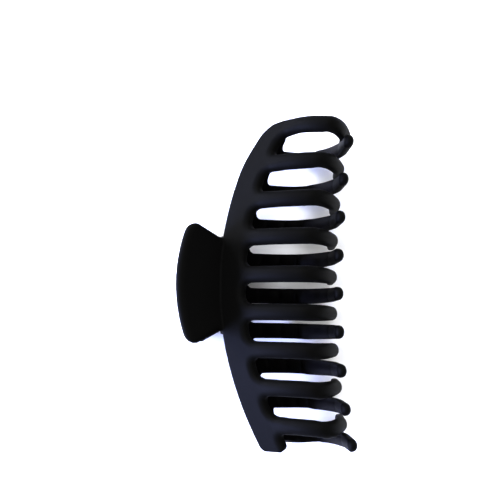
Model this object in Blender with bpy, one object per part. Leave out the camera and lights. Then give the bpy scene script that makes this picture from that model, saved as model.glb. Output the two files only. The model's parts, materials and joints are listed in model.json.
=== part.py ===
"""Claw clip: two identical toothed jaws on a steel pin, held shut by a torsion spring.

Lengths are in millimetres until a mesh is made. A jaw is drawn in its own frame: the origin is on the
hinge axis, X runs towards the tooth tips, Y along the hinge and Z outwards from the plane between the
jaws. The finished clip lies on its rear jaw with the hinge along Y and the tips towards +X.
"""

import math

import bmesh
import bpy
from mathutils import Vector
from mathutils.geometry import interpolate_bezier

MM = 0.001

# Teeth: each jaw's row is set off a quarter pitch along the hinge, so the two rows alternate
TOOTH_PITCH = 13.65
TOOTH_OFFSET = TOOTH_PITCH / 4
TOOTH_COUNT = 9
TOOTH_HALF_WIDTH = 3.0
TIP_HALF_WIDTH = 2.4
TIP_ROUNDING = 3.0
TIP_CROWN_SHARE = 0.7
TIP_END_SHARE = 0.15
CROWN_OUTSIDE = 2.6
CROWN_INSIDE = 1.0
CROWN_RUN = 7.0

# Slots between the teeth, and the round-over along their edges
SLOT_CORNER = 3.0
EDGE_SPAN = 2.4
EDGE_DROP = 1.9

# Outer surface of a jaw at mid length, seen along the hinge
SPINE_EDGE = (-5.0, 11.8)
SPINE_SLOPE = math.radians(30)
SPINE_HANDLE = 9.0
CREST = (24.0, 25.0)
CREST_HANDLES = (10.0, 8.5)
SHOULDER = (39.4, -2.0)
SHOULDER_HANDLE = (-3.5, 17.0)
TIP = (40.1, -22.0)
SLOT_END_X = 3.1

# Bow of a jaw along its length: a line of the surface moves by y squared over twice the radius
SPINE_BOW_RADIUS = 114.0
TIP_BOW_RADIUS = 430.0
END_FLARE = 1.2
FLARE_POWER = 4

# Thickness of the moulding
SPINE_THICKNESS = 3.0
CREST_THICKNESS = 4.6
TIP_THICKNESS = 3.6
SPINE_CHAMFER = 0.5

# Ends of the spine
FOOT_Y = -60.3
FOOT_CORNER = 2.2
TOP_CORNER = 5.0
ARCH_DROP = 3.6
ARCH_FALL = 1.5
ARCH_PEAK = 0.6
ARCH_START_Y = 40.0

# Thumb tab: its outer face runs from the crease beside the spine up to the free edge
TAB_CREASE = (-3.8, 12.0)
TAB_END = (-18.2, 25.28)
TAB_THICKNESS = 2.5
TAB_ROOT_DEPTH = 2.0
TAB_ROOT_HALF_WIDTH = 17.2
TAB_END_HALF_WIDTH = 21.4
TAB_EDGE_RADIUS = 45.0
TAB_CORNER = 5.5
TAB_CORNER_START = 100
TAB_RIM_SPAN = 2.6
TAB_RIM_DROP = 1.6
TAB_UNDER_RIM = 0.5

# The tab's plate is bent back to the spine's bow on each side of a flat place for the thumb
TAB_FLAT_HALF_WIDTH = 5.0
TAB_BEND_RADIUS = 46.5
TAB_BEND_STEP = 3.0

# Hinge
PIN_RADIUS = 1.25
BORE_CLEARANCE = 0.07
BOSS_RADIUS = 4.4
BOSS_ANGLES = (165, 365)
KNUCKLE_WIDTH = 4.0
INNER_KNUCKLE_Y = 12.0
KNUCKLE_GAP = 0.3
WEB_BACK = (-0.9, 11.9)
WEB_FRONT = (4.6, 14.9)
PIN_OVERHANG = 0.6

# Spring
WIRE_RADIUS = 0.6
COIL_RADIUS = 2.6
COIL_HALF_LENGTH = 8.8
COIL_TURNS = 8
LEG_LENGTH = 17.0

# Fineness of the mesh
PROFILE_SAMPLES = 40
TOOTH_ACROSS = [math.sin(math.radians(a)) for a in range(-90, 91, 30)]
TOOTH_ROWS = 14
TIP_ANGLES = [math.radians(a) for a in (30, 55, 75)]
SPINE_ROWS = 3
EDGE_ROWS = 3
CORNER_ANGLES = [math.radians(a) for a in (75, 45, 20)]
RIM_STEPS = 3
CIRCLE_STEPS = 24
BOSS_STEPS = 14
WIRE_STEPS_PER_TURN = 12
NORMAL_STEP = 0.3
SHARP_ANGLE = math.radians(40)

OUTER_KNUCKLE_Y = INNER_KNUCKLE_Y + KNUCKLE_WIDTH + KNUCKLE_GAP
TOP_TOOTH_Y = (TOOTH_COUNT - 1) / 2 * TOOTH_PITCH + TOOTH_OFFSET
TOP_Y = TOP_TOOTH_Y + TOOTH_HALF_WIDTH
BELOW_FOOT = 2 * FOOT_Y


def lerp(low, high, share):
    return low + (high - low) * min(max(share, 0.0), 1.0)


def ease(share):
    share = min(max(share, 0.0), 1.0)
    return share * share * (3 - 2 * share)


# ---------------------------------------------------------------- jaw surface


def profile_line():
    """Points of the outer surface at mid length, from the spine's edge to the tip."""
    edge, crest, shoulder, tip = (Vector((p[0], 0, p[1])) for p in (SPINE_EDGE, CREST, SHOULDER, TIP))
    rise = Vector((math.cos(SPINE_SLOPE), 0, math.sin(SPINE_SLOPE)))
    before_crest, after_crest = (Vector((length, 0, 0)) for length in CREST_HANDLES)
    back = interpolate_bezier(edge, edge + rise * SPINE_HANDLE, crest - before_crest, crest,
                              PROFILE_SAMPLES)
    above_shoulder = shoulder + Vector((SHOULDER_HANDLE[0], 0, SHOULDER_HANDLE[1]))
    front = interpolate_bezier(crest, crest + after_crest, above_shoulder, shoulder, PROFILE_SAMPLES)
    return back + front[1:] + [tip]


PROFILE = profile_line()
ALONG = [0.0]
for start, end in zip(PROFILE, PROFILE[1:]):
    ALONG.append(ALONG[-1] + (end - start).length)
PROFILE_LENGTH = ALONG[-1]


def profile_point(u):
    """The outer surface at mid length, u millimetres along it from the spine's edge."""
    for i in range(1, len(ALONG)):
        if u <= ALONG[i] or i == len(ALONG) - 1:
            share = (u - ALONG[i - 1]) / (ALONG[i] - ALONG[i - 1])
            return PROFILE[i - 1] + (PROFILE[i] - PROFILE[i - 1]) * share


def along_at(x):
    """How far along the profile its back reaches x."""
    for i, point in enumerate(PROFILE):
        if point.x >= x:
            return ALONG[i]


SLOT_END = along_at(SLOT_END_X)
CREST_AT = along_at(CREST[0])
ROOT_AT = SLOT_END + SLOT_CORNER
PEAK_AT = CREST_AT * ARCH_PEAK


def surface_point(u, y):
    """The outer surface at a place along the profile and a place along the hinge."""
    point = profile_point(u)
    towards_tip = (point.x - SLOT_END_X) / (TIP[0] - SLOT_END_X)
    bow = lerp(1 / SPINE_BOW_RADIUS, 1 / TIP_BOW_RADIUS, towards_tip) / 2
    flare = lerp(0, END_FLARE, towards_tip) * (y / TOP_Y) ** FLARE_POWER
    arch = ease((y - ARCH_START_Y) / (TOP_Y - ARCH_START_Y))
    drop = ARCH_DROP * lerp(1, 0, u / PEAK_AT) ** 2
    drop += ARCH_FALL * ease((u - PEAK_AT) / (PROFILE_LENGTH / 2 - PEAK_AT))
    return Vector((point.x + bow * y * y + flare, y - drop * arch, point.z))


def surface_normal(u, y):
    along = surface_point(u + NORMAL_STEP, y) - surface_point(u - NORMAL_STEP, y)
    across = surface_point(u, y + NORMAL_STEP) - surface_point(u, y - NORMAL_STEP)
    return along.cross(across).normalized()


def past_crest(u):
    return min(max((u - CREST_AT) / (PROFILE_LENGTH - CREST_AT), 0.0), 1.0)


def thickness(u):
    if u < CREST_AT:
        return lerp(SPINE_THICKNESS, CREST_THICKNESS, u / CREST_AT)
    return lerp(CREST_THICKNESS, TIP_THICKNESS, past_crest(u))


def half_width(u):
    return lerp(TOOTH_HALF_WIDTH, TIP_HALF_WIDTH, ease(past_crest(u)))


def tooth_y(index):
    """Middle of a tooth; tooth 0 is the arched one at the top end of the spine."""
    return TOP_TOOTH_Y - index * TOOTH_PITCH


def corner_setback(distance, radius):
    """How far a round corner sets an edge back, at a distance from where the corner starts."""
    inside = min(max(distance / radius, 0.0), math.sin(CORNER_ANGLES[0]))
    return radius * (1 - math.sqrt(1 - inside * inside))


def round_over(distance, span, drop):
    """How far an elliptical round-over lowers a surface, at a distance from its edge."""
    inside = 1 - min(distance / span, 1.0)
    return drop * (1 - math.sqrt(1 - inside * inside))


def slot_distance(u, y):
    """How far a place on the spine is from the nearest slot, notch or top edge."""
    nearest = TOP_Y - y + lerp(EDGE_SPAN, 0, u / ROOT_AT)
    behind = max(ROOT_AT - u, 0.0)
    for index in range(TOOTH_COUNT):
        high = tooth_y(index) - TOOTH_HALF_WIDTH
        low = tooth_y(index + 1) + TOOTH_HALF_WIDTH if index + 1 < TOOTH_COUNT else BELOW_FOOT
        beside = max(low + SLOT_CORNER - y, y - high + SLOT_CORNER, 0.0)
        nearest = min(nearest, math.hypot(beside, behind) - SLOT_CORNER)
    return max(nearest, 0.0)


def spine_columns():
    """(y, end of the spine there, tooth index or None) from the foot to the top end."""
    lowest_edge = tooth_y(TOOTH_COUNT - 1) - TOOTH_HALF_WIDTH
    corners = [(SLOT_CORNER * (1 - math.sin(a)), SLOT_CORNER * (1 - math.cos(a))) for a in CORNER_ANGLES]
    columns = []
    for angle in CORNER_ANGLES:
        columns.append((FOOT_Y + FOOT_CORNER * (1 - math.sin(angle) / math.sin(CORNER_ANGLES[0])),
                        SLOT_END - FOOT_CORNER * (1 - math.cos(angle)), None))
    columns.append((lerp(FOOT_Y + FOOT_CORNER, lowest_edge - SLOT_CORNER, 0.5), SLOT_END, None))
    for setback, end in reversed(corners):
        columns.append((lowest_edge - setback, SLOT_END + end, None))
    for index in reversed(range(TOOTH_COUNT)):
        middle = tooth_y(index)
        for across in TOOTH_ACROSS:
            columns.append((middle + across * TOOTH_HALF_WIDTH, ROOT_AT, index))
        if index == 0:
            break
        low = middle + TOOTH_HALF_WIDTH
        high = tooth_y(index - 1) - TOOTH_HALF_WIDTH
        for setback, end in corners:
            columns.append((low + setback, SLOT_END + end, None))
        columns.append(((low + high) / 2, SLOT_END, None))
        for setback, end in reversed(corners):
            columns.append((high - setback, SLOT_END + end, None))
    return columns


def both_sides(u, y, lowered, inside_crown=0.0, thin=1.0):
    """Outer and inner surface points, the outer one lowered by a round-over and the inner one by its crown."""
    outer = surface_point(u, y)
    normal = surface_normal(u, y)
    depth = thickness(u)
    outside = depth * (1 - thin) / 2 + lowered
    inside = depth * (1 + thin) / 2 - inside_crown
    return outer - normal * outside, outer - normal * inside


def spine_sides(u, y):
    chamfer = SPINE_CHAMFER * lerp(1, 0, u / SPINE_CHAMFER)
    return both_sides(u, y, chamfer + round_over(slot_distance(u, y), EDGE_SPAN, EDGE_DROP))


def tooth_sides(u, index, across, share):
    """Sides of a tooth, which is full and round outside; share falls to 0 at the very tip."""
    width = half_width(u)
    full = ease((u - ROOT_AT) / CROWN_RUN)
    distance = (1 - abs(across)) * width
    lowered = round_over(distance, lerp(EDGE_SPAN, width, full), lerp(EDGE_DROP, CROWN_OUTSIDE, full))
    lowered *= lerp(1, TIP_CROWN_SHARE, past_crest(u)) * share
    crown = CROWN_INSIDE * round_over(1 - abs(across), 1, 1) * full * share
    thin = lerp(TIP_END_SHARE, 1, share)
    return both_sides(u, tooth_y(index) + across * width * share, lowered, crown, thin)


def add_pair(bm, pair):
    return tuple(bm.verts.new(point * MM) for point in pair)


def fill_grid(bm, rows):
    """Quads on both sides between rows of (outer, inner) vertex pairs."""
    for row, following in zip(rows, rows[1:]):
        for i in range(len(row) - 1):
            corners = (row[i], following[i], following[i + 1], row[i + 1])
            bm.faces.new([corner[0] for corner in corners])
            bm.faces.new([corner[1] for corner in reversed(corners)])


def spine_row_places(corner, spine_end):
    """Places along the profile for the spine's rows: the edge, its chamfer, the face and the round-over."""
    edge_start = spine_end - EDGE_SPAN
    face = [lerp(corner + SPINE_CHAMFER, edge_start, i / SPINE_ROWS) for i in range(SPINE_ROWS)]
    angles = [math.pi / 2 * i / EDGE_ROWS for i in range(EDGE_ROWS + 1)]
    return [corner] + face + [edge_start + EDGE_SPAN * math.sin(angle) for angle in angles]


def tooth_rows(bm, index):
    straight = PROFILE_LENGTH - TIP_ROUNDING
    places = [(lerp(ROOT_AT, straight, i / TOOTH_ROWS), 1.0) for i in range(1, TOOTH_ROWS + 1)]
    places += [(straight + TIP_ROUNDING * math.sin(angle), math.cos(angle)) for angle in TIP_ANGLES]
    rows = []
    for u, share in places:
        rows.append([add_pair(bm, tooth_sides(u, index, across, share)) for across in TOOTH_ACROSS])
    return rows


def build_comb():
    """The spine with its teeth, as one closed shell of even quads."""
    bm = bmesh.new()
    columns = spine_columns()
    rows = [[] for _ in range(SPINE_ROWS + EDGE_ROWS + 2)]
    for y, spine_end, _ in columns:
        corner = corner_setback(y - (TOP_Y - TOP_CORNER), TOP_CORNER)
        corner += corner_setback(FOOT_Y + FOOT_CORNER - y, FOOT_CORNER)
        for row, u in zip(rows, spine_row_places(corner, spine_end)):
            row.append(add_pair(bm, spine_sides(u, y)))
    fill_grid(bm, rows)
    pairs = [pair for row in rows for pair in row]
    for index in range(TOOTH_COUNT):
        root = [pair for pair, column in zip(rows[-1], columns) if column[2] == index]
        tooth = tooth_rows(bm, index)
        fill_grid(bm, [root] + tooth)
        pairs += [pair for row in tooth for pair in row]
    close_rim(bm, pairs)
    return bm


def close_rim(bm, pairs):
    """Side walls between the outer and the inner surface, all round the comb."""
    partner = {outer: inner for outer, inner in pairs}
    rim = [edge for edge in bm.edges if edge.is_boundary and edge.verts[0] in partner]
    for edge in rim:
        loop = edge.link_loops[0]
        first, second = loop.vert, loop.link_loop_next.vert
        bm.faces.new((second, first, partner[first], partner[second]))


# ---------------------------------------------------------------- tab and knuckles


def mesh_object(name, bm):
    bmesh.ops.recalc_face_normals(bm, faces=bm.faces)
    mesh = bpy.data.meshes.new(name)
    bm.to_mesh(mesh)
    bm.free()
    item = bpy.data.objects.new(name, mesh)
    bpy.context.scene.collection.objects.link(item)
    return item


def prism(name, outline, direction):
    """A closed prism: the outline's points, in millimetres, pushed along a direction."""
    bm = bmesh.new()
    face = bm.faces.new([bm.verts.new(Vector(point) * MM) for point in outline])
    pushed = bmesh.ops.extrude_face_region(bm, geom=[face])["geom"]
    moved = [item for item in pushed if isinstance(item, bmesh.types.BMVert)]
    bmesh.ops.translate(bm, verts=moved, vec=Vector(direction) * MM)
    return mesh_object(name, bm)


def arc(centre, radius, start, end, count):
    """Points of an arc as (a, b) pairs; angles in degrees."""
    angles = [math.radians(start + (end - start) * i / count) for i in range(count + 1)]
    return [(centre[0] + radius * math.cos(a), centre[1] + radius * math.sin(a)) for a in angles]


def tab_direction():
    """Unit vector up the tab from its crease to its free edge, in the XZ plane."""
    return Vector((TAB_END[0] - TAB_CREASE[0], 0, TAB_END[1] - TAB_CREASE[1])).normalized()


def tab_normal():
    up = tab_direction()
    return Vector((up.z, 0, -up.x))


def tab_bend(y):
    """How far the tab's plate is bent back at a place along the hinge."""
    return max(abs(y) - TAB_FLAT_HALF_WIDTH, 0.0) ** 2 / (2 * TAB_BEND_RADIUS)


def tab_outline():
    """The unbent tab as (distance up from the crease, y): flared sides, round corners, a bowed free edge."""
    length = math.dist(TAB_END, TAB_CREASE)
    inner_radius = TAB_EDGE_RADIUS - TAB_CORNER
    half_angle = math.degrees(math.asin((TAB_END_HALF_WIDTH - TAB_CORNER) / inner_radius))
    edge_middle = (length - TAB_EDGE_RADIUS, 0)
    edge = arc(edge_middle, TAB_EDGE_RADIUS, half_angle, -half_angle, CIRCLE_STEPS // 2)
    corner_middle = arc(edge_middle, inner_radius, half_angle, half_angle, 1)[0]
    root = -TAB_ROOT_DEPTH - 2 * TAB_RIM_SPAN
    upper = [(root, TAB_ROOT_HALF_WIDTH), (0, TAB_ROOT_HALF_WIDTH)]
    upper += arc(corner_middle, TAB_CORNER, TAB_CORNER_START, half_angle, CIRCLE_STEPS // 4)
    lower = [(up, -y) for up, y in reversed(upper)]
    lean = 1 / tab_direction().x
    return [(up - tab_bend(y) * lean, y) for up, y in upper + edge[1:-1] + lower]


def inset(outline, distance):
    """The closed outline moved inwards by a distance."""
    moved = []
    for i, point in enumerate(outline):
        before, after = Vector(outline[i - 1]), Vector(outline[(i + 1) % len(outline)])
        along = (after - before).normalized()
        moved.append(Vector(point) + Vector((along.y, -along.x)) * distance)
    return moved


def rim_levels():
    """(distance in from the outline, height from the outer face) of the rings that make the tab's rim."""
    angles = [math.pi / 2 * i / RIM_STEPS for i in range(RIM_STEPS + 1)]
    outer = [(TAB_RIM_SPAN * (1 - math.sin(a)), -TAB_RIM_DROP * (1 - math.cos(a))) for a in angles]
    return outer + [(0, TAB_UNDER_RIM - TAB_THICKNESS), (TAB_UNDER_RIM, -TAB_THICKNESS)]


def build_tab():
    """The thumb tab: a plate with a soft rim, cut off inside the spine and bent to the spine's bow."""
    up = tab_direction()
    outward = tab_normal()
    crease = Vector((TAB_CREASE[0], 0, TAB_CREASE[1]))
    outline = tab_outline()
    bm = bmesh.new()
    rings = []
    for inwards, height in rim_levels():
        ring = [crease + up * p.x + outward * height + Vector((0, p.y, 0)) for p in inset(outline, inwards)]
        rings.append([bm.verts.new(point) for point in ring])
    for ring, following in zip(rings, rings[1:]):
        for i in range(len(ring)):
            bm.faces.new((ring[i - 1], ring[i], following[i], following[i - 1]))
    bm.faces.new(rings[0])
    bm.faces.new(reversed(rings[-1]))
    cut = cut_by_plane(bm, crease - up * TAB_ROOT_DEPTH, up, clear_inner=True)
    bmesh.ops.contextual_create(bm, geom=[item for item in cut if isinstance(item, bmesh.types.BMEdge)])
    y = TAB_FLAT_HALF_WIDTH
    while y < TAB_END_HALF_WIDTH:
        cut_by_plane(bm, (0, y, 0), (0, 1, 0))
        cut_by_plane(bm, (0, -y, 0), (0, 1, 0))
        y += TAB_BEND_STEP
    for vertex in bm.verts:
        vertex.co.x += tab_bend(vertex.co.y)
        vertex.co *= MM
    bent = [face for face in bm.faces if abs(face.calc_center_median().y) > TAB_FLAT_HALF_WIDTH * MM]
    bmesh.ops.triangulate(bm, faces=bent)
    return mesh_object("tab", bm)


def cut_by_plane(bm, point, normal, clear_inner=False):
    everything = bm.verts[:] + bm.edges[:] + bm.faces[:]
    cut = bmesh.ops.bisect_plane(bm, geom=everything, plane_co=point, plane_no=normal, clear_inner=clear_inner)
    return cut["geom_cut"]


def build_knuckle(name, middle_y):
    """A round boss on the hinge axis with a web up into the spine."""
    low = middle_y - KNUCKLE_WIDTH / 2
    outline = [WEB_BACK] + arc((0, 0), BOSS_RADIUS, *BOSS_ANGLES, BOSS_STEPS) + [WEB_FRONT]
    return prism(name, [(x, low, z) for x, z in outline], (0, KNUCKLE_WIDTH, 0))


def circle(radius):
    return arc((0, 0), radius, 0, 360 - 360 / CIRCLE_STEPS, CIRCLE_STEPS - 1)


def build_bore():
    half = TAB_END_HALF_WIDTH
    outline = circle(PIN_RADIUS + BORE_CLEARANCE)
    return prism("bore", [(x, -half, z) for x, z in outline], (0, 2 * half, 0))


def apply_booleans(base, tools):
    """Cut or join the tools into the base and keep the result as one mesh."""
    for operation, tool in tools:
        modifier = base.modifiers.new(operation.lower(), "BOOLEAN")
        modifier.operation = operation
        modifier.solver = "EXACT"
        modifier.object = tool
    bpy.context.view_layer.update()
    evaluated = base.evaluated_get(bpy.context.evaluated_depsgraph_get())
    finished = bpy.data.meshes.new_from_object(evaluated)
    for item in [base] + [tool for _, tool in tools]:
        bpy.data.objects.remove(item, do_unlink=True)
    result = bpy.data.objects.new("shape", finished)
    bpy.context.scene.collection.objects.link(result)
    return result


def build_jaw_mesh():
    comb = mesh_object("comb", build_comb())
    tools = [
        ("UNION", build_tab()),
        ("UNION", build_knuckle("outer_knuckle", OUTER_KNUCKLE_Y)),
        ("UNION", build_knuckle("inner_knuckle", -INNER_KNUCKLE_Y)),
        ("DIFFERENCE", build_bore()),
    ]
    joined = apply_booleans(comb, tools)
    mesh = joined.data
    bpy.data.objects.remove(joined, do_unlink=True)
    mesh.name = "jaw"
    return mesh


# ---------------------------------------------------------------- steel pieces


def build_pin_mesh():
    half = OUTER_KNUCKLE_Y + KNUCKLE_WIDTH / 2 + PIN_OVERHANG
    pin = prism("pin", [(x, -half, z) for x, z in circle(PIN_RADIUS)], (0, 2 * half, 0))
    mesh = pin.data
    bpy.data.objects.remove(pin, do_unlink=True)
    return mesh


def spring_route():
    """Centre line of the wire: rear leg, coil, front leg. Each leg lies along the inside of a tab."""
    normal = tab_normal()
    front_angle = math.atan2(normal.z, normal.x)
    sweep = 2 * math.pi * COIL_TURNS + 2 * front_angle
    steps = round(WIRE_STEPS_PER_TURN * sweep / (2 * math.pi))
    coil = []
    for i in range(steps + 1):
        share = i / steps
        angle = -front_angle + sweep * share
        y = COIL_HALF_LENGTH * (2 * share - 1)
        coil.append(Vector((COIL_RADIUS * math.cos(angle), y, COIL_RADIUS * math.sin(angle))))
    up = tab_direction()
    front_leg = [coil[-1] + up * LEG_LENGTH * share for share in (0.5, 1)]
    down = Vector((up.x, 0, -up.z))
    rear_leg = [coil[0] + down * LEG_LENGTH * share for share in (1, 0.5)]
    return rear_leg + coil + front_leg


def build_spring(material):
    curve = bpy.data.curves.new("torsion_spring", "CURVE")
    curve.dimensions = "3D"
    curve.bevel_depth = WIRE_RADIUS * MM
    curve.bevel_resolution = 1
    curve.use_fill_caps = True
    route = spring_route()
    spline = curve.splines.new("POLY")
    spline.points.add(len(route) - 1)
    for point, place in zip(spline.points, route):
        point.co = (*(place * MM), 1)
    curve.materials.append(material)
    item = bpy.data.objects.new("torsion_spring", curve)
    bpy.context.scene.collection.objects.link(item)
    return item


# ---------------------------------------------------------------- assembly


def make_material(name, colour, roughness, metallic):
    material = bpy.data.materials.new(name)
    material.use_nodes = True
    shader = material.node_tree.nodes["Principled BSDF"]
    shader.inputs["Base Color"].default_value = (*colour, 1)
    shader.inputs["Roughness"].default_value = roughness
    shader.inputs["Metallic"].default_value = metallic
    return material


def place(name, mesh, material, hinge, half_turn=False):
    mesh.materials.clear()
    mesh.materials.append(material)
    mesh.shade_smooth()
    mesh.set_sharp_from_angle(angle=SHARP_ANGLE)
    item = bpy.data.objects.new(name, mesh)
    item.location = hinge
    item.rotation_euler.x = math.pi if half_turn else 0
    bpy.context.scene.collection.objects.link(item)
    return item


def main():
    for item in list(bpy.data.objects):
        bpy.data.objects.remove(item, do_unlink=True)
    soft_black = make_material("soft_touch_black", (0.012, 0.012, 0.015), 0.62, 0.0)
    rear_black = make_material("soft_touch_black_rear", (0.012, 0.012, 0.015), 0.62, 0.0)
    pin_steel = make_material("pin_steel", (0.55, 0.55, 0.56), 0.3, 1.0)
    spring_steel = make_material("spring_steel", (0.42, 0.42, 0.44), 0.35, 1.0)

    jaw = build_jaw_mesh()
    lowest = min(vertex.co.x for vertex in jaw.vertices)
    highest = max(vertex.co.x for vertex in jaw.vertices)
    hinge = Vector((-(lowest + highest) / 2, 0, max(vertex.co.z for vertex in jaw.vertices)))
    place("front_jaw", jaw, soft_black, hinge)
    place("rear_jaw", jaw.copy(), rear_black, hinge, half_turn=True)
    place("hinge_pin", build_pin_mesh(), pin_steel, hinge)
    build_spring(spring_steel).location = hinge


main()
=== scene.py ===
"""Looks of the claw clip: smooth soft-touch jaws, a steel pin and spring, on a pale floor in soft light.

Jaw shapes are drawn in millimetres in the jaw's own frame, as in the CAD: the origin is on the hinge axis,
X runs to the tooth tips, Y along the hinge and Z outwards from the plane between the jaws.
"""

import bisect
import json
import math

import bmesh
import bpy
from mathutils import Matrix, Vector
from mathutils.geometry import interpolate_bezier


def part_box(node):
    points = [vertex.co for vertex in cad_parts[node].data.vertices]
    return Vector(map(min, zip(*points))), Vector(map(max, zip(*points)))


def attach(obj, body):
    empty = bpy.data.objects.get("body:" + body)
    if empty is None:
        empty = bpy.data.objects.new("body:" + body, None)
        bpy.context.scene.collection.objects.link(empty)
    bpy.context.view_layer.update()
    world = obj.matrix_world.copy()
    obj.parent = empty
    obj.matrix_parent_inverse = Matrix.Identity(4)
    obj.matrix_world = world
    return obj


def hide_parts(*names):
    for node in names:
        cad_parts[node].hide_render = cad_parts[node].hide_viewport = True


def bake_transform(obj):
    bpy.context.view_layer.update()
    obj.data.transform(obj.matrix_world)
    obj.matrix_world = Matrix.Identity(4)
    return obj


MM = 0.001

# Teeth: each jaw's row is set off a quarter pitch along the hinge, so the two rows alternate
TOOTH_PITCH = 13.65
TOOTH_OFFSET = TOOTH_PITCH / 4
TOOTH_COUNT = 9
TOOTH_HALF_WIDTH = 3.0
TIP_HALF_WIDTH = 2.4
TIP_ROUNDING = 3.0
TIP_CROWN_SHARE = 0.7
TIP_END_SHARE = 0.15
CROWN_OUTSIDE = 2.6
CROWN_INSIDE = 1.0
CROWN_RUN = 7.0

# Low ridges across the inside of each tooth, by their places along the profile
GRIP_RIDGES = (16.0, 24.0, 33.0)
GRIP_HEIGHT = 0.7
GRIP_LENGTH = 1.1

# Slots between the teeth, and the round-over along their edges
SLOT_CORNER = 3.0
EDGE_SPAN = 2.4
EDGE_DROP = 1.9

# Outer surface of a jaw at mid length, seen along the hinge
SPINE_EDGE = (-5.0, 11.8)
SPINE_SLOPE = math.radians(30)
SPINE_HANDLE = 9.0
CREST = (24.0, 25.0)
CREST_HANDLES = (10.0, 8.5)
SHOULDER = (39.4, -2.0)
SHOULDER_HANDLE = (-3.5, 17.0)
TIP = (40.1, -22.0)
SLOT_END_X = 3.1

# Bow of a jaw along its length: a line of the surface moves by y squared over twice the radius
SPINE_BOW_RADIUS = 114.0
TIP_BOW_RADIUS = 430.0
END_FLARE = 1.2
FLARE_POWER = 4

# Thickness of the moulding
SPINE_THICKNESS = 3.0
CREST_THICKNESS = 4.6
TIP_THICKNESS = 3.6
SPINE_CHAMFER = 0.55

# Ends of the spine
FOOT_Y = -60.3
FOOT_CORNER = 2.2
TOP_CORNER = 5.0
ARCH_DROP = 3.6
ARCH_FALL = 1.5
ARCH_PEAK = 0.6
ARCH_START_Y = 40.0

# Thumb tab: its outer face runs from the crease beside the spine up to the free edge
TAB_CREASE = (-3.8, 12.0)
TAB_END = (-18.2, 25.28)
TAB_THICKNESS = 2.5
TAB_ROOT_DEPTH = 2.0
TAB_ROOT_HALF_WIDTH = 17.2
TAB_END_HALF_WIDTH = 21.4
TAB_EDGE_RADIUS = 45.0
TAB_CORNER = 5.5
TAB_CORNER_START = 100
TAB_RIM_SPAN = 2.6
TAB_RIM_DROP = 1.6
TAB_UNDER_RIM = 0.5

# The tab's plate is bent back to the spine's bow on each side of a flat place for the thumb
TAB_FLAT_HALF_WIDTH = 5.0
TAB_BEND_RADIUS = 46.5

# Hinge
PIN_RADIUS = 1.25
PIN_CHAMFER = 0.25
BORE_CLEARANCE = 0.07
BOSS_RADIUS = 4.4
BOSS_ANGLES = (165, 365)
KNUCKLE_WIDTH = 4.0
INNER_KNUCKLE_Y = 12.0
KNUCKLE_GAP = 0.3
WEB_BACK = (-0.9, 11.9)
WEB_FRONT = (4.6, 14.9)
DRILL_OVERRUN = 1.0

# Spring
WIRE_RADIUS = 0.6
WIRE_END_SHARE = 0.8
COIL_RADIUS = 2.6
COIL_HALF_LENGTH = 8.8
COIL_TURNS = 8
LEG_LENGTH = 17.0

# Where a surface counts as facing the hair: how squarely it faces the middle of the hair space
HAIR_MIDDLE_X = 18.0
FACING_FROM = 0.1
FACING_SPAN = 0.5

# Looks of the moulding: a soft-touch coating outside, bare plastic on the surfaces that face the hair
COAT_COLOUR = (0.0040, 0.0040, 0.0040, 1)
COAT_ROUGHNESS = (0.55, 0.63)
BARE_COLOUR = (0.0008, 0.0006, 0.0010, 1)
BARE_ROUGHNESS = 0.52
MOULDING_SPECULAR = 0.055

# Looks of the steel, and how far its noise is drawn out along X, Y and Z
PIN_COLOUR = (0.30, 0.30, 0.31)
PIN_ROUGHNESS = 0.3
PIN_STRETCH = (1, 0.05, 1)
WIRE_COLOUR = (0.22, 0.22, 0.23)
WIRE_ROUGHNESS = 0.34
WIRE_STRETCH = (1, 1, 1)
STEEL_ROUGHNESS_SPREAD = 0.07
STEEL_DARK_SHARE = 0.8

# Noise: its scale in cycles a metre and its detail, and for a relief its strength and depth in metres
BLOTCHES = (90, 4.0)
GRAIN = (9000, 2.0)
GRAIN_RELIEF = (0.25, 0.00003)
STEEL_LINES = (1500, 3.0)
STEEL_RELIEF = (0.2, 0.00002)

# Floor, in metres
FLOOR_HALF_SIZE = 12.0
FLOOR_COLOUR = (0.92, 0.92, 0.92, 1)
FLOOR_ROUGHNESS = 0.9
FLOOR_SPECULAR = 0.2

# Light of the room, from the horizon to straight above
SKY_LOW = (0.3, 0.3, 0.3, 1)
SKY_HIGH = (1.0, 1.0, 1.0, 1)
SKY_STRENGTH = 1.0

# Area lights: place and size in metres, power in watts, colour
LIGHT_TARGET = (0, 0, 0.02)
LIGHTS = {
    "lower_left": ((-0.9, -0.30, 0.29), (0.6, 0.2), 30, (0.48, 0.55, 1.0)),
    "upper_left": ((-0.85, 0.45, 0.27), (0.6, 0.2), 10.5, (0.9, 0.92, 1.0)),
    "top": ((0.1, 0.9, 1.0), (1.0, 0.6), 8, (1.0, 1.0, 1.0)),
}
EXPOSURE = 0.6
GAMMA = 0.77

# Camera: turned from straight above, with the clip's place in its own axes, in metres
CAMERA_PITCH = math.radians(-4.05)
CAMERA_YAW = math.radians(-0.13)
CAMERA_ROLL = math.radians(-0.39)
CAMERA_TO_AIM = (-0.00056, -0.0133, -0.40407)
AIM_FROM_HINGE = 0.006
LENS_MM = 77.5
SENSOR_MM = 36
CLIP_START = 0.01

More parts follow.
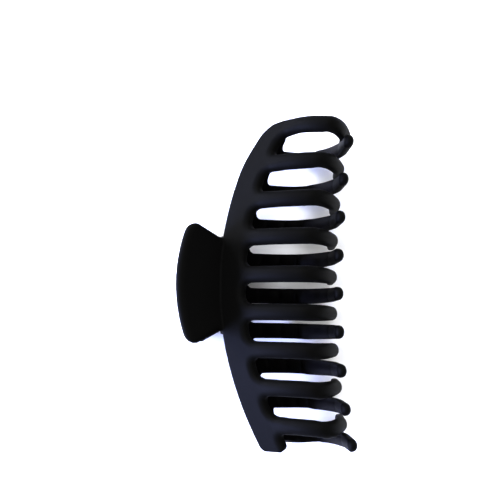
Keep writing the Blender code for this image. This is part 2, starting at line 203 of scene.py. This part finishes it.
# Fineness of the mesh
PROFILE_SAMPLES = 80
SPINE_ROWS = 12
EDGE_ROWS = 7
TOOTH_ROWS = 48
TOOTH_ACROSS = [math.sin(math.radians(a)) for a in range(-90, 91, 15)]
TIP_ANGLES = [math.radians(a) for a in (15, 30, 45, 58, 70, 80)]
CORNER_ANGLES = [math.radians(a) for a in (75, 60, 45, 30, 15)]
TAB_EDGE_STEPS = 40
TAB_CORNER_STEPS = 14
RIM_STEPS = 9
UNDER_RIM_STEPS = 3
BEND_STEPS = 16
BOSS_STEPS = 48
BORE_STEPS = 60
PIN_STEPS = 48
WIRE_STEPS_PER_TURN = 40
WIRE_SIDES = 14
LEG_STEPS = 24
NORMAL_STEP = 0.3
VOXEL = 0.28
SMOOTHING_STEPS = 6
SMOOTHING_SHARE = 0.5
SHARP_ANGLE = math.radians(35)

OUTER_KNUCKLE_Y = INNER_KNUCKLE_Y + KNUCKLE_WIDTH + KNUCKLE_GAP
TOP_TOOTH_Y = (TOOTH_COUNT - 1) / 2 * TOOTH_PITCH + TOOTH_OFFSET
TOP_Y = TOP_TOOTH_Y + TOOTH_HALF_WIDTH
BELOW_FOOT = 2 * FOOT_Y


def lerp(low, high, share):
    """From low to high, and never past either."""
    return low + (high - low) * min(max(share, 0.0), 1.0)


def ease(share):
    """A smooth step from 0 to 1."""
    share = min(max(share, 0.0), 1.0)
    return share * share * (3 - 2 * share)


# ---------------------------------------------------------------- jaw surface


def profile_line():
    """Points of the outer surface at mid length, from the spine's edge to the tip."""
    edge, crest, shoulder, tip = (Vector((p[0], 0, p[1])) for p in (SPINE_EDGE, CREST, SHOULDER, TIP))
    rise = Vector((math.cos(SPINE_SLOPE), 0, math.sin(SPINE_SLOPE)))
    before_crest, after_crest = (Vector((length, 0, 0)) for length in CREST_HANDLES)
    back = interpolate_bezier(edge, edge + rise * SPINE_HANDLE, crest - before_crest, crest,
                              PROFILE_SAMPLES)
    above_shoulder = shoulder + Vector((SHOULDER_HANDLE[0], 0, SHOULDER_HANDLE[1]))
    front = interpolate_bezier(crest, crest + after_crest, above_shoulder, shoulder, PROFILE_SAMPLES)
    return back + front[1:] + [tip]


PROFILE = profile_line()
ALONG = [0.0]
for start, end in zip(PROFILE, PROFILE[1:]):
    ALONG.append(ALONG[-1] + (end - start).length)
PROFILE_LENGTH = ALONG[-1]


def profile_point(u):
    """The outer surface at mid length, u millimetres along it from the spine's edge."""
    i = min(max(bisect.bisect_left(ALONG, u), 1), len(ALONG) - 1)
    share = (u - ALONG[i - 1]) / (ALONG[i] - ALONG[i - 1])
    return PROFILE[i - 1] + (PROFILE[i] - PROFILE[i - 1]) * share


def along_at(x):
    """How far along the profile its back reaches x."""
    return next(along for along, point in zip(ALONG, PROFILE) if point.x >= x)


SLOT_END = along_at(SLOT_END_X)
CREST_AT = along_at(CREST[0])
ROOT_AT = SLOT_END + SLOT_CORNER
PEAK_AT = CREST_AT * ARCH_PEAK


def surface_point(u, y):
    """The outer surface at a place along the profile and a place along the hinge."""
    point = profile_point(u)
    towards_tip = (point.x - SLOT_END_X) / (TIP[0] - SLOT_END_X)
    bow = lerp(1 / SPINE_BOW_RADIUS, 1 / TIP_BOW_RADIUS, towards_tip) / 2
    flare = lerp(0, END_FLARE, towards_tip) * (y / TOP_Y) ** FLARE_POWER
    arch = ease((y - ARCH_START_Y) / (TOP_Y - ARCH_START_Y))
    drop = ARCH_DROP * lerp(1, 0, u / PEAK_AT) ** 2
    drop += ARCH_FALL * ease((u - PEAK_AT) / (PROFILE_LENGTH / 2 - PEAK_AT))
    return Vector((point.x + bow * y * y + flare, y - drop * arch, point.z))


def surface_normal(u, y):
    along = surface_point(u + NORMAL_STEP, y) - surface_point(u - NORMAL_STEP, y)
    across = surface_point(u, y + NORMAL_STEP) - surface_point(u, y - NORMAL_STEP)
    return along.cross(across).normalized()


def past_crest(u):
    """Share of the way from the crest to the tip."""
    return min(max((u - CREST_AT) / (PROFILE_LENGTH - CREST_AT), 0.0), 1.0)


def thickness(u):
    if u < CREST_AT:
        return lerp(SPINE_THICKNESS, CREST_THICKNESS, u / CREST_AT)
    return lerp(CREST_THICKNESS, TIP_THICKNESS, past_crest(u))


def half_width(u):
    return lerp(TOOTH_HALF_WIDTH, TIP_HALF_WIDTH, ease(past_crest(u)))


def tooth_y(index):
    """Middle of a tooth; tooth 0 is the arched one at the top end of the spine."""
    return TOP_TOOTH_Y - index * TOOTH_PITCH


def corner_setback(distance, radius):
    """How far a round corner sets an edge back, at a distance from where the corner starts."""
    inside = min(max(distance / radius, 0.0), math.sin(CORNER_ANGLES[0]))
    return radius * (1 - math.sqrt(1 - inside * inside))


def slot_distance(u, y):
    """How far a place on the spine is from the nearest slot, notch or top edge."""
    nearest = TOP_Y - y + lerp(EDGE_SPAN, 0, u / ROOT_AT)
    behind = max(ROOT_AT - u, 0.0)
    for index in range(TOOTH_COUNT):
        high = tooth_y(index) - TOOTH_HALF_WIDTH
        low = tooth_y(index + 1) + TOOTH_HALF_WIDTH if index + 1 < TOOTH_COUNT else BELOW_FOOT
        beside = max(low + SLOT_CORNER - y, y - high + SLOT_CORNER, 0.0)
        nearest = min(nearest, math.hypot(beside, behind) - SLOT_CORNER)
    return max(nearest, 0.0)


def round_over(distance, span, drop):
    """How far an elliptical round-over lowers a surface, at a distance from its edge."""
    inside = 1 - min(distance / span, 1.0)
    return drop * (1 - math.sqrt(1 - inside * inside))


def spine_columns():
    """(y, end of the spine there, tooth index or None) from the foot to the top end."""
    lowest_edge = tooth_y(TOOTH_COUNT - 1) - TOOTH_HALF_WIDTH
    corners = [(SLOT_CORNER * (1 - math.sin(a)), SLOT_CORNER * (1 - math.cos(a))) for a in CORNER_ANGLES]
    columns = []
    for angle in CORNER_ANGLES:
        columns.append((FOOT_Y + FOOT_CORNER * (1 - math.sin(angle) / math.sin(CORNER_ANGLES[0])),
                        SLOT_END - FOOT_CORNER * (1 - math.cos(angle)), None))
    columns.append((lerp(FOOT_Y + FOOT_CORNER, lowest_edge - SLOT_CORNER, 0.5), SLOT_END, None))
    for setback, end in reversed(corners):
        columns.append((lowest_edge - setback, SLOT_END + end, None))
    for index in reversed(range(TOOTH_COUNT)):
        middle = tooth_y(index)
        for across in TOOTH_ACROSS:
            columns.append((middle + across * TOOTH_HALF_WIDTH, ROOT_AT, index))
        if index == 0:
            break
        low = middle + TOOTH_HALF_WIDTH
        high = tooth_y(index - 1) - TOOTH_HALF_WIDTH
        for setback, end in corners:
            columns.append((low + setback, SLOT_END + end, None))
        columns.append(((low + high) / 2, SLOT_END, None))
        for setback, end in reversed(corners):
            columns.append((high - setback, SLOT_END + end, None))
    return columns


def grip_ridge(u, across):
    """Height of the low ridges across the inside of a tooth."""
    heights = (math.exp(-((u - ridge) / GRIP_LENGTH) ** 2) for ridge in GRIP_RIDGES)
    return GRIP_HEIGHT * sum(heights) * max(0.0, 1 - across * across)


def both_sides(u, y, lowered, inside_crown=0.0, ridge=0.0, thin=1.0):
    """Points of the outer and inner surface at one place.

    The round-over lowers the outer one; the crown raises the inner one and a ridge lowers it. With thin
    below 1, both lie nearer to the middle of the wall.
    """
    outer = surface_point(u, y)
    normal = surface_normal(u, y)
    depth = thickness(u)
    outside = depth * (1 - thin) / 2 + lowered
    inside = depth * (1 + thin) / 2 - inside_crown + ridge
    return outer - normal * outside, outer - normal * inside


def spine_sides(u, y):
    chamfer = SPINE_CHAMFER * lerp(1, 0, u / SPINE_CHAMFER)
    return both_sides(u, y, chamfer + round_over(slot_distance(u, y), EDGE_SPAN, EDGE_DROP))


def tooth_sides(u, index, across, share):
    """Sides of a tooth, which is full and round outside; share falls to 0 at the very tip."""
    width = half_width(u)
    full = ease((u - ROOT_AT) / CROWN_RUN)
    distance = (1 - abs(across)) * width
    lowered = round_over(distance, lerp(EDGE_SPAN, width, full), lerp(EDGE_DROP, CROWN_OUTSIDE, full))
    lowered *= lerp(1, TIP_CROWN_SHARE, past_crest(u)) * share
    crown = CROWN_INSIDE * round_over(1 - abs(across), 1, 1) * full * share
    thin = lerp(TIP_END_SHARE, 1, share)
    return both_sides(u, tooth_y(index) + across * width * share, lowered, crown, grip_ridge(u, across), thin)


def add_pair(bm, pair):
    return tuple(bm.verts.new(point) for point in pair)


def fill_grid(bm, rows):
    """Quads on both sides between rows of (outer, inner) vertex pairs."""
    for row, following in zip(rows, rows[1:]):
        for i in range(len(row) - 1):
            corners = (row[i], following[i], following[i + 1], row[i + 1])
            bm.faces.new([corner[0] for corner in corners])
            bm.faces.new([corner[1] for corner in reversed(corners)])


def spine_row_places(corner, spine_end):
    """Places along the profile for the spine's rows: the edge, its chamfer, the face and the round-over."""
    edge_start = spine_end - EDGE_SPAN
    face = [lerp(corner + SPINE_CHAMFER, edge_start, i / SPINE_ROWS) for i in range(SPINE_ROWS)]
    angles = [math.pi / 2 * i / EDGE_ROWS for i in range(EDGE_ROWS + 1)]
    return [corner] + face + [edge_start + EDGE_SPAN * math.sin(angle) for angle in angles]


def tooth_rows(bm, index):
    """Rows of (outer, inner) vertex pairs down a tooth, from below its root to its round tip."""
    straight = PROFILE_LENGTH - TIP_ROUNDING
    places = [(lerp(ROOT_AT, straight, i / TOOTH_ROWS), 1.0) for i in range(1, TOOTH_ROWS + 1)]
    places += [(straight + TIP_ROUNDING * math.sin(angle), math.cos(angle)) for angle in TIP_ANGLES]
    rows = []
    for u, share in places:
        rows.append([add_pair(bm, tooth_sides(u, index, across, share)) for across in TOOTH_ACROSS])
    return rows


def build_comb():
    """The spine with its teeth, as one closed shell of even quads."""
    bm = bmesh.new()
    columns = spine_columns()
    rows = [[] for _ in range(SPINE_ROWS + EDGE_ROWS + 2)]
    for y, spine_end, _ in columns:
        corner = corner_setback(y - (TOP_Y - TOP_CORNER), TOP_CORNER)
        corner += corner_setback(FOOT_Y + FOOT_CORNER - y, FOOT_CORNER)
        for row, u in zip(rows, spine_row_places(corner, spine_end)):
            row.append(add_pair(bm, spine_sides(u, y)))
    fill_grid(bm, rows)
    pairs = [pair for row in rows for pair in row]
    for index in range(TOOTH_COUNT):
        root = [pair for pair, column in zip(rows[-1], columns) if column[2] == index]
        tooth = tooth_rows(bm, index)
        fill_grid(bm, [root] + tooth)
        pairs += [pair for row in tooth for pair in row]
    close_rim(bm, pairs)
    return bm


def close_rim(bm, pairs):
    """Side walls between the outer and the inner surface, all round the comb."""
    partner = {outer: inner for outer, inner in pairs}
    rim = [edge for edge in bm.edges if edge.is_boundary and edge.verts[0] in partner]
    for edge in rim:
        loop = edge.link_loops[0]
        first, second = loop.vert, loop.link_loop_next.vert
        bm.faces.new((second, first, partner[first], partner[second]))


# ---------------------------------------------------------------- tab and knuckles


def mesh_object(name, bm):
    bmesh.ops.recalc_face_normals(bm, faces=bm.faces)
    mesh = bpy.data.meshes.new(name)
    bm.to_mesh(mesh)
    bm.free()
    item = bpy.data.objects.new(name, mesh)
    bpy.context.scene.collection.objects.link(item)
    return item


def prism(name, outline, direction):
    """A closed prism: the outline's points pushed along a direction."""
    bm = bmesh.new()
    face = bm.faces.new([bm.verts.new(Vector(point)) for point in outline])
    pushed = bmesh.ops.extrude_face_region(bm, geom=[face])["geom"]
    moved = [item for item in pushed if isinstance(item, bmesh.types.BMVert)]
    bmesh.ops.translate(bm, verts=moved, vec=Vector(direction))
    return mesh_object(name, bm)


def arc(centre, radius, start, end, count):
    """Points of an arc as (a, b) pairs; angles in degrees."""
    angles = [math.radians(start + (end - start) * i / count) for i in range(count + 1)]
    return [(centre[0] + radius * math.cos(a), centre[1] + radius * math.sin(a)) for a in angles]


def tab_direction():
    """Unit vector up the tab from its crease to its free edge, in the XZ plane."""
    return Vector((TAB_END[0] - TAB_CREASE[0], 0, TAB_END[1] - TAB_CREASE[1])).normalized()


def tab_normal():
    """Unit vector straight out of the tab's outer face."""
    up = tab_direction()
    return Vector((up.z, 0, -up.x))


def tab_bend(y):
    """How far the tab's plate is bent back at a place along the hinge."""
    return max(abs(y) - TAB_FLAT_HALF_WIDTH, 0.0) ** 2 / (2 * TAB_BEND_RADIUS)


def tab_outline():
    """The unbent tab as (distance up from the crease, y): flared sides, round corners, a bowed free edge."""
    length = math.dist(TAB_END, TAB_CREASE)
    inner_radius = TAB_EDGE_RADIUS - TAB_CORNER
    half_angle = math.degrees(math.asin((TAB_END_HALF_WIDTH - TAB_CORNER) / inner_radius))
    edge_middle = (length - TAB_EDGE_RADIUS, 0)
    edge = arc(edge_middle, TAB_EDGE_RADIUS, half_angle, -half_angle, TAB_EDGE_STEPS)
    corner_middle = arc(edge_middle, inner_radius, half_angle, half_angle, 1)[0]
    # Starts below the cut that build_tab makes, so that no rim is left at the root
    root = -TAB_ROOT_DEPTH - 2 * TAB_RIM_SPAN
    upper = [(root, TAB_ROOT_HALF_WIDTH), (0, TAB_ROOT_HALF_WIDTH)]
    upper += arc(corner_middle, TAB_CORNER, TAB_CORNER_START, half_angle, TAB_CORNER_STEPS)
    lower = [(up, -y) for up, y in reversed(upper)]
    # The bend moves the plate along X, so the plate is first drawn longer by as much
    lean = 1 / tab_direction().x
    return [(up - tab_bend(y) * lean, y) for up, y in upper + edge[1:-1] + lower]


def inset(outline, distance):
    """The closed outline moved inwards by a distance."""
    moved = []
    for i, point in enumerate(outline):
        before, after = Vector(outline[i - 1]), Vector(outline[(i + 1) % len(outline)])
        along = (after - before).normalized()
        moved.append(Vector(point) + Vector((along.y, -along.x)) * distance)
    return moved


def quarter_turn(steps):
    """Angles from 0 to a right angle."""
    return [math.pi / 2 * i / steps for i in range(steps + 1)]


def rim_levels():
    """(distance in from the outline, height from the outer face) of the rings that make the tab's rim."""
    outer = [(TAB_RIM_SPAN * (1 - math.sin(a)), -TAB_RIM_DROP * (1 - math.cos(a)))
             for a in quarter_turn(RIM_STEPS)]
    under = [(TAB_UNDER_RIM * (1 - math.cos(a)), TAB_UNDER_RIM * (1 - math.sin(a)) - TAB_THICKNESS)
             for a in quarter_turn(UNDER_RIM_STEPS)]
    return outer + under


def build_tab():
    """The thumb tab: a plate with a soft rim, cut off inside the spine and bent to the spine's bow."""
    up = tab_direction()
    outward = tab_normal()
    crease = Vector((TAB_CREASE[0], 0, TAB_CREASE[1]))
    outline = tab_outline()
    bm = bmesh.new()
    rings = []
    for inwards, height in rim_levels():
        ring = [crease + up * p.x + outward * height + Vector((0, p.y, 0)) for p in inset(outline, inwards)]
        rings.append([bm.verts.new(point) for point in ring])
    for ring, following in zip(rings, rings[1:]):
        for i in range(len(ring)):
            bm.faces.new((ring[i - 1], ring[i], following[i], following[i - 1]))
    bm.faces.new(rings[0])
    bm.faces.new(reversed(rings[-1]))
    cut = cut_by_plane(bm, crease - up * TAB_ROOT_DEPTH, up, clear_inner=True)
    bmesh.ops.contextual_create(bm, geom=[item for item in cut if isinstance(item, bmesh.types.BMEdge)])
    for i in range(-BEND_STEPS, BEND_STEPS + 1):
        cut_by_plane(bm, (0, TAB_END_HALF_WIDTH * i / BEND_STEPS, 0), (0, 1, 0))
    for vertex in bm.verts:
        vertex.co.x += tab_bend(vertex.co.y)
    return mesh_object("tab", bm)


def cut_by_plane(bm, point, normal, clear_inner=False):
    """Cuts the mesh along a plane and returns the edges and vertices of the cut."""
    everything = bm.verts[:] + bm.edges[:] + bm.faces[:]
    cut = bmesh.ops.bisect_plane(bm, geom=everything, plane_co=point, plane_no=normal,
                                 clear_inner=clear_inner)
    return cut["geom_cut"]


def build_knuckle(middle_y):
    """A round boss on the hinge axis with a web up into the spine, bored for the pin."""
    low = middle_y - KNUCKLE_WIDTH / 2
    outline = [WEB_BACK] + arc((0, 0), BOSS_RADIUS, *BOSS_ANGLES, BOSS_STEPS) + [WEB_FRONT]
    knuckle = prism("knuckle", [(x, low, z) for x, z in outline], (0, KNUCKLE_WIDTH, 0))
    bore = arc((0, 0), PIN_RADIUS + BORE_CLEARANCE, 0, 360 - 360 / BORE_STEPS, BORE_STEPS - 1)
    drill = prism("bore", [(x, low - DRILL_OVERRUN, z) for x, z in bore],
                  (0, KNUCKLE_WIDTH + 2 * DRILL_OVERRUN, 0))
    return apply_booleans(knuckle, [("DIFFERENCE", drill)])


def apply_booleans(base, tools):
    """Cut or join the tools into the base and keep the result as one mesh."""
    for operation, tool in tools:
        modifier = base.modifiers.new(operation.lower(), "BOOLEAN")
        modifier.operation = operation
        modifier.solver = "EXACT"
        modifier.object = tool
    return bake(base, [tool for _, tool in tools])


def bake(item, used=()):
    """The object with its modifiers applied; the objects that it used are removed."""
    bpy.context.view_layer.update()
    evaluated = item.evaluated_get(bpy.context.evaluated_depsgraph_get())
    mesh = bpy.data.meshes.new_from_object(evaluated)
    for old in [item, *used]:
        bpy.data.objects.remove(old, do_unlink=True)
    result = bpy.data.objects.new("shape", mesh)
    bpy.context.scene.collection.objects.link(result)
    return result


def build_jaw_mesh():
    """Comb, tab and knuckles fused by a voxel remesh, which gives every inner corner a moulded fillet."""
    shapes = [mesh_object("comb", build_comb()), build_tab(),
              build_knuckle(OUTER_KNUCKLE_Y), build_knuckle(-INNER_KNUCKLE_Y)]
    bm = bmesh.new()
    for shape in shapes:
        bm.from_mesh(shape.data)
        bpy.data.objects.remove(shape, do_unlink=True)
    joined = mesh_object("jaw", bm)
    remesh = joined.modifiers.new("fuse", "REMESH")
    remesh.mode = "VOXEL"
    remesh.voxel_size = VOXEL
    smooth = joined.modifiers.new("soften", "SMOOTH")
    smooth.factor = SMOOTHING_SHARE
    smooth.iterations = SMOOTHING_STEPS
    fused = bake(joined)
    mesh = fused.data
    bpy.data.objects.remove(fused, do_unlink=True)
    mark_inside(mesh)
    mesh.shade_smooth()
    return mesh


def mark_inside(mesh):
    """An attribute that is 1 on the surfaces that face the hair, which are bare plastic."""
    values = mesh.attributes.new("inside", "FLOAT", "POINT").data
    for vertex, value in zip(mesh.vertices, values):
        to_middle = Vector((HAIR_MIDDLE_X - vertex.co.x, 0, -vertex.co.z)).normalized()
        value.value = ease((vertex.normal.dot(to_middle) - FACING_FROM) / FACING_SPAN)


# ---------------------------------------------------------------- steel pieces


def build_pin():
    box_low, box_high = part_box("hinge_pin")
    half = (box_high[1] - box_low[1]) / 2 / MM
    outline = [(0.0, -half), (PIN_RADIUS - PIN_CHAMFER, -half), (PIN_RADIUS, -half + PIN_CHAMFER),
               (PIN_RADIUS, half - PIN_CHAMFER), (PIN_RADIUS - PIN_CHAMFER, half), (0.0, half)]
    bm = bmesh.new()
    line = [bm.verts.new((x, y, 0)) for x, y in outline]
    edges = [bm.edges.new(pair) for pair in zip(line, line[1:])]
    bmesh.ops.spin(bm, geom=line + edges, cent=(0, 0, 0), axis=(0, 1, 0), angle=2 * math.pi, steps=PIN_STEPS)
    bmesh.ops.remove_doubles(bm, verts=bm.verts, dist=MM)
    return mesh_object("steel_pin", bm)


def spring_route():
    """Centre line of the wire: rear leg, coil, front leg. Each leg lies along the inside of a tab."""
    normal = tab_normal()
    front_angle = math.atan2(normal.z, normal.x)
    sweep = 2 * math.pi * COIL_TURNS + 2 * front_angle
    steps = round(WIRE_STEPS_PER_TURN * sweep / (2 * math.pi))
    coil = []
    for i in range(steps + 1):
        share = i / steps
        angle = -front_angle + sweep * share
        y = COIL_HALF_LENGTH * (2 * share - 1)
        coil.append(Vector((COIL_RADIUS * math.cos(angle), y, COIL_RADIUS * math.sin(angle))))
    up = tab_direction()
    down = Vector((up.x, 0, -up.z))
    shares = [i / LEG_STEPS for i in range(1, LEG_STEPS + 1)]
    rear_leg = [coil[0] + down * LEG_LENGTH * share for share in reversed(shares)]
    return rear_leg + coil + [coil[-1] + up * LEG_LENGTH * share for share in shares]


def build_spring():
    """A round wire swept along the route, with a slightly rounded cut at each end."""
    route = spring_route()
    bm = bmesh.new()
    rings = []
    across = Vector((0, 1, 0))
    for i, centre in enumerate(route):
        before, after = route[max(i - 1, 0)], route[min(i + 1, len(route) - 1)]
        ahead = (after - before).normalized()
        across = (across - ahead * across.dot(ahead)).normalized()
        third = ahead.cross(across)
        radius = WIRE_RADIUS * (WIRE_END_SHARE if i in (0, len(route) - 1) else 1)
        ring = []
        for k in range(WIRE_SIDES):
            angle = 2 * math.pi * k / WIRE_SIDES
            ring.append(bm.verts.new(centre + (across * math.cos(angle) + third * math.sin(angle)) * radius))
        rings.append(ring)
    for ring, following in zip(rings, rings[1:]):
        for k in range(WIRE_SIDES):
            bm.faces.new((ring[k - 1], ring[k], following[k], following[k - 1]))
    bm.faces.new(rings[0])
    bm.faces.new(reversed(rings[-1]))
    return mesh_object("steel_spring", bm)


# ---------------------------------------------------------------- materials


def new_material(name):
    material = bpy.data.materials.new(name)
    material.use_nodes = True
    nodes = material.node_tree.nodes
    return material, nodes, material.node_tree.links, nodes["Principled BSDF"]


def add_noise(nodes, links, scale, detail, stretch=(1, 1, 1)):
    """Noise over the piece's own coordinates, which are in metres."""
    place = nodes.new("ShaderNodeTexCoord")
    mapping = nodes.new("ShaderNodeMapping")
    mapping.inputs["Scale"].default_value = stretch
    noise = nodes.new("ShaderNodeTexNoise")
    noise.inputs["Scale"].default_value = scale
    noise.inputs["Detail"].default_value = detail
    links.new(place.outputs["Object"], mapping.inputs["Vector"])
    links.new(mapping.outputs["Vector"], noise.inputs["Vector"])
    return noise.outputs["Fac"]


def add_ramp(nodes, links, source, low, high):
    """Maps a 0 to 1 value to the range from low to high."""
    ramp = nodes.new("ShaderNodeMapRange")
    ramp.inputs["To Min"].default_value = low
    ramp.inputs["To Max"].default_value = high
    links.new(source, ramp.inputs["Value"])
    return ramp.outputs["Result"]


def add_colour_mix(nodes, links, factor, low, high):
    """A colour that goes from low to high with a factor."""
    mix = nodes.new("ShaderNodeMix")
    mix.data_type = "RGBA"
    mix.inputs["A"].default_value = low
    mix.inputs["B"].default_value = high
    links.new(factor, mix.inputs["Factor"])
    return mix.outputs["Result"]


def add_relief(nodes, links, height, strength, depth, shader):
    bump = nodes.new("ShaderNodeBump")
    bump.inputs["Strength"].default_value = strength
    bump.inputs["Distance"].default_value = depth
    links.new(height, bump.inputs["Height"])
    links.new(bump.outputs["Normal"], shader.inputs["Normal"])


def soft_touch_black(name):
    """Matte black coating with a fine grain, and darker, slightly smoother plastic towards the hair."""
    material, nodes, links, shader = new_material(name)
    attribute = nodes.new("ShaderNodeAttribute")
    attribute.attribute_name = "inside"
    inside = attribute.outputs["Fac"]
    colour = add_colour_mix(nodes, links, inside, COAT_COLOUR, BARE_COLOUR)
    links.new(colour, shader.inputs["Base Color"])
    coat_roughness = add_ramp(nodes, links, add_noise(nodes, links, *BLOTCHES), *COAT_ROUGHNESS)
    roughness = nodes.new("ShaderNodeMix")
    roughness.data_type = "FLOAT"
    roughness.inputs["B"].default_value = BARE_ROUGHNESS
    links.new(inside, roughness.inputs["Factor"])
    links.new(coat_roughness, roughness.inputs["A"])
    links.new(roughness.outputs["Result"], shader.inputs["Roughness"])
    add_relief(nodes, links, add_noise(nodes, links, *GRAIN), *GRAIN_RELIEF, shader)
    shader.inputs["Specular IOR Level"].default_value = MOULDING_SPECULAR
    return material


def drawn_steel(name, colour, roughness, stretch):
    """Steel with fine lines, drawn out along a piece by the stretch."""
    material, nodes, links, shader = new_material(name)
    shader.inputs["Metallic"].default_value = 1.0
    lines = add_noise(nodes, links, *STEEL_LINES, stretch)
    dark = (*[channel * STEEL_DARK_SHARE for channel in colour], 1)
    links.new(add_colour_mix(nodes, links, lines, dark, (*colour, 1)), shader.inputs["Base Color"])
    smoothest, roughest = roughness - STEEL_ROUGHNESS_SPREAD, roughness + STEEL_ROUGHNESS_SPREAD
    links.new(add_ramp(nodes, links, lines, smoothest, roughest), shader.inputs["Roughness"])
    add_relief(nodes, links, lines, *STEEL_RELIEF, shader)
    return material


def pale_floor():
    material, _, _, shader = new_material("pale_floor")
    shader.inputs["Base Color"].default_value = FLOOR_COLOUR
    shader.inputs["Roughness"].default_value = FLOOR_ROUGHNESS
    shader.inputs["Specular IOR Level"].default_value = FLOOR_SPECULAR
    return material


# ---------------------------------------------------------------- placing


def put(name, mesh, matrix, material, body, node):
    """Places a piece by its vertices, in the part's frame, and lets it stand for a CAD node."""
    mesh.transform(matrix)
    mesh.materials.clear()
    mesh.materials.append(material)
    item = bpy.data.objects.new(name, mesh)
    bpy.context.scene.collection.objects.link(item)
    if body:
        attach(item, body)
    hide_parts(node)
    return item


def take_mesh(item):
    """The object's mesh; the object itself is removed."""
    mesh = item.data
    bpy.data.objects.remove(item, do_unlink=True)
    return mesh


def add_area_light(name, place, size, power, colour):
    light = bpy.data.lights.new(name, "AREA")
    light.shape = "RECTANGLE"
    light.size, light.size_y = size
    light.energy = power
    light.color = colour
    item = bpy.data.objects.new(name, light)
    item.location = place
    item.rotation_euler = (Vector(LIGHT_TARGET) - Vector(place)).to_track_quat("-Z", "Y").to_euler()
    bpy.context.scene.collection.objects.link(item)


def build_stage():
    bm = bmesh.new()
    bmesh.ops.create_grid(bm, x_segments=1, y_segments=1, size=FLOOR_HALF_SIZE)
    floor = mesh_object("floor", bm)
    floor.data.materials.append(pale_floor())


def build_sky():
    world = bpy.data.worlds.new("studio")
    bpy.context.scene.world = world
    world.use_nodes = True
    nodes, links = world.node_tree.nodes, world.node_tree.links
    background = nodes["Background"]
    direction = nodes.new("ShaderNodeTexCoord")
    height = nodes.new("ShaderNodeSeparateXYZ")
    links.new(direction.outputs["Generated"], height.inputs["Vector"])
    sky = add_colour_mix(nodes, links, height.outputs["Z"], SKY_LOW, SKY_HIGH)
    links.new(sky, background.inputs["Color"])
    background.inputs["Strength"].default_value = SKY_STRENGTH


def build_lights():
    for name, (place, size, power, colour) in LIGHTS.items():
        add_area_light(name, place, size, power, colour)


def set_view():
    """Exposes the picture so that the lit floor comes out white and the black clip keeps its shades."""
    view = bpy.context.scene.view_settings
    view.view_transform = "Standard"
    view.exposure = EXPOSURE
    view.gamma = GAMMA


def build_camera():
    """Looks down on the front jaw, leaning a little to the foot's side, from 0.4 m above the hinge."""
    turn = Matrix.Rotation(CAMERA_ROLL, 3, "Z")
    turn = turn @ Matrix.Rotation(CAMERA_PITCH, 3, "X") @ Matrix.Rotation(CAMERA_YAW, 3, "Y")
    to_world = turn.transposed()
    hinge = hinge_place()
    aim = Vector((hinge.x + AIM_FROM_HINGE, 0, hinge.z))
    camera = bpy.data.cameras.new("camera")
    camera.sensor_width = SENSOR_MM
    camera.lens = LENS_MM
    camera.clip_start = CLIP_START
    item = bpy.data.objects.new("camera", camera)
    item.matrix_world = Matrix.Translation(aim - to_world @ Vector(CAMERA_TO_AIM)) @ to_world.to_4x4()
    bpy.context.scene.collection.objects.link(item)
    bpy.context.scene.camera = item


def hinge_place():
    """The middle of the hinge in the part's frame, in metres."""
    return Vector(frame["joints"][0]["pos_m"])


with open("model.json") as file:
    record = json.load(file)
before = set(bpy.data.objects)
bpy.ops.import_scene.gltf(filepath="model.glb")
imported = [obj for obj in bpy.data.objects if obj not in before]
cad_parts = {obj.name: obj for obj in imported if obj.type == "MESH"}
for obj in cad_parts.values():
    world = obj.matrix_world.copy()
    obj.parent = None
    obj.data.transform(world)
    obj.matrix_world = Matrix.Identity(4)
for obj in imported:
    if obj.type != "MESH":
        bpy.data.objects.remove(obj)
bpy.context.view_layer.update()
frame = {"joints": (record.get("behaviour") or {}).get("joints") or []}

to_front = Matrix.Translation(hinge_place()) @ Matrix.Scale(MM, 4)
to_rear = to_front @ Matrix.Rotation(math.pi, 4, "X")

jaw_mesh = build_jaw_mesh()
put("front_jaw_skin", jaw_mesh.copy(), to_front, soft_touch_black("soft_touch_front"),
    "front_half", "front_jaw")
put("rear_jaw_skin", jaw_mesh, to_rear, soft_touch_black("soft_touch_rear"),
    "rear_half", "rear_jaw")
pin_steel = drawn_steel("pin_steel", PIN_COLOUR, PIN_ROUGHNESS, PIN_STRETCH)
pin = put("steel_pin", take_mesh(build_pin()), to_front, pin_steel, "rear_half", "hinge_pin")
spring_steel = drawn_steel("spring_steel", WIRE_COLOUR, WIRE_ROUGHNESS, WIRE_STRETCH)
spring = put("steel_spring", take_mesh(build_spring()), to_front, spring_steel,
             None, "torsion_spring")
for item in (pin, spring):
    item.data.shade_smooth()
    item.data.set_sharp_from_angle(angle=SHARP_ANGLE)
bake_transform(spring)

build_stage()
build_sky()
build_lights()
set_view()
build_camera()
